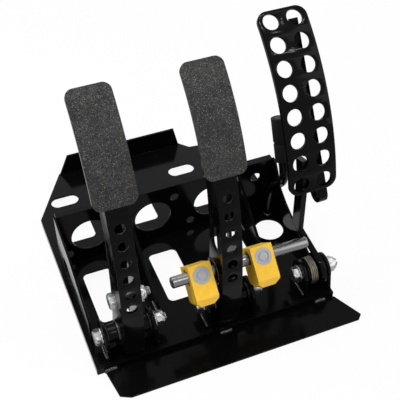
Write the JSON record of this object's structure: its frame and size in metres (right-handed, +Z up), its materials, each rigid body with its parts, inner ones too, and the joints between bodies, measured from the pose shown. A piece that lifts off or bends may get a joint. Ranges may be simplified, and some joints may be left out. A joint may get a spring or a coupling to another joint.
{
  "type": "pedal box",
  "caption": "Floor-mounted pedal box: sheet tray with a drilled back plate for master cylinders, hinged clutch and brake arms, a tilting brake balance bar and a sprung, drilled throttle pedal.",
  "frame": {"origin": "middle of the heel plate's underside, on the floor plane", "axes": "+X to the driver's right, +Y towards the bulkhead, +Z up"},
  "size_m": [0.24, 0.282, 0.2456],
  "materials": {
    "black_coat": "gloss powder coat on steel sheet",
    "zinc": "bright zinc plate",
    "grip_sheet": "mineral grit on a sheet",
    "sleeve_rubber": "matt",
    "bush_polymer": "moulded, matt",
    "bearing_steel": "ground",
    "turned_steel": "turned",
    "gold_anodised": "gold anodised",
    "spring_steel": "drawn wire"
  },
  "bodies": {
    "frame": {"floor_tray": "black_coat", "heel_plate": "black_coat", "back_plate": "black_coat", "left_side_panel": "black_coat", "right_side_panel": "black_coat", "clutch_gusset": "black_coat", "brake_gusset": "black_coat", "clutch_ears": "black_coat", "brake_ears": "black_coat", "throttle_ears": "black_coat", "throttle_stop_bar": "black_coat", "throttle_stop_sleeve": "sleeve_rubber", "pedal_pivot_bolts": "zinc", "throttle_pivot_bolt": "zinc", "pivot_nuts": "zinc", "pivot_washers": "zinc"},
    "clutch_pedal": {"clutch_arm": "black_coat", "clutch_pad_plate": "black_coat", "clutch_grip": "grip_sheet", "clutch_pivot_tube": "black_coat", "clutch_bushes": "bush_polymer", "clutch_rod_bolt": "zinc", "clutch_rod_nut": "zinc"},
    "brake_pedal": {"brake_arm": "black_coat", "brake_pad_plate": "black_coat", "brake_grip": "grip_sheet", "brake_pivot_tube": "black_coat", "brake_bushes": "bush_polymer", "balance_tube": "black_coat", "bearing_ring": "bearing_steel"},
    "balance_bar": {"balance_bar": "zinc", "bearing_ball": "bearing_steel"},
    "left_trunnion": {"left_barrel": "turned_steel"},
    "right_trunnion": {"right_barrel": "turned_steel"},
    "left_clevis": {"left_clevis": "gold_anodised"},
    "right_clevis": {"right_clevis": "gold_anodised"},
    "throttle_pedal": {"throttle_pad": "black_coat", "throttle_arm": "black_coat", "throttle_strap": "black_coat", "throttle_hub": "black_coat", "throttle_bushes": "bush_polymer", "throttle_spring": "spring_steel"}
  },
  "joints": [
    {"name": "clutch_hinge", "type": "hinge", "parent": "frame", "child": "clutch_pedal", "pos_m": [-0.078, 0.0355, 0.025], "axis": [-1, 0, 0], "range_deg": [0, 25]},
    {"name": "brake_hinge", "type": "hinge", "parent": "frame", "child": "brake_pedal", "pos_m": [0.014, 0.0355, 0.025], "axis": [-1, 0, 0], "range_deg": [0, 20]},
    {"name": "throttle_hinge", "type": "hinge", "parent": "frame", "child": "throttle_pedal", "pos_m": [0.099, 0.0355, 0.025], "axis": [-1, 0, 0], "range_deg": [0, 9], "stiffness_Nm_per_rad": 0.8, "springref_deg": -34.38, "deforming": ["throttle_spring"]},
    {"name": "bar_tilt", "type": "hinge", "parent": "brake_pedal", "child": "balance_bar", "pos_m": [0.0095, 0.0335, 0.0685], "axis": [0, 0, 1], "range_deg": [-5, 5]},
    {"name": "left_trunnion_swing", "type": "hinge", "parent": "balance_bar", "child": "left_trunnion", "pos_m": [-0.014, 0.0335, 0.0685], "axis": [1, 0, 0], "range_deg": [-15, 140]},
    {"name": "right_trunnion_swing", "type": "hinge", "parent": "balance_bar", "child": "right_trunnion", "pos_m": [0.042, 0.0335, 0.0685], "axis": [1, 0, 0], "range_deg": [-15, 140]},
    {"name": "left_clevis_turn", "type": "hinge", "parent": "left_trunnion", "child": "left_clevis", "pos_m": [-0.014, 0.0335, 0.0685], "axis": [0, 0.6947, -0.7193], "range_deg": [-8, 8]},
    {"name": "right_clevis_turn", "type": "hinge", "parent": "right_trunnion", "child": "right_clevis", "pos_m": [0.042, 0.0335, 0.0685], "axis": [0, 0.6947, -0.7193], "range_deg": [-8, 8]}
  ]
}
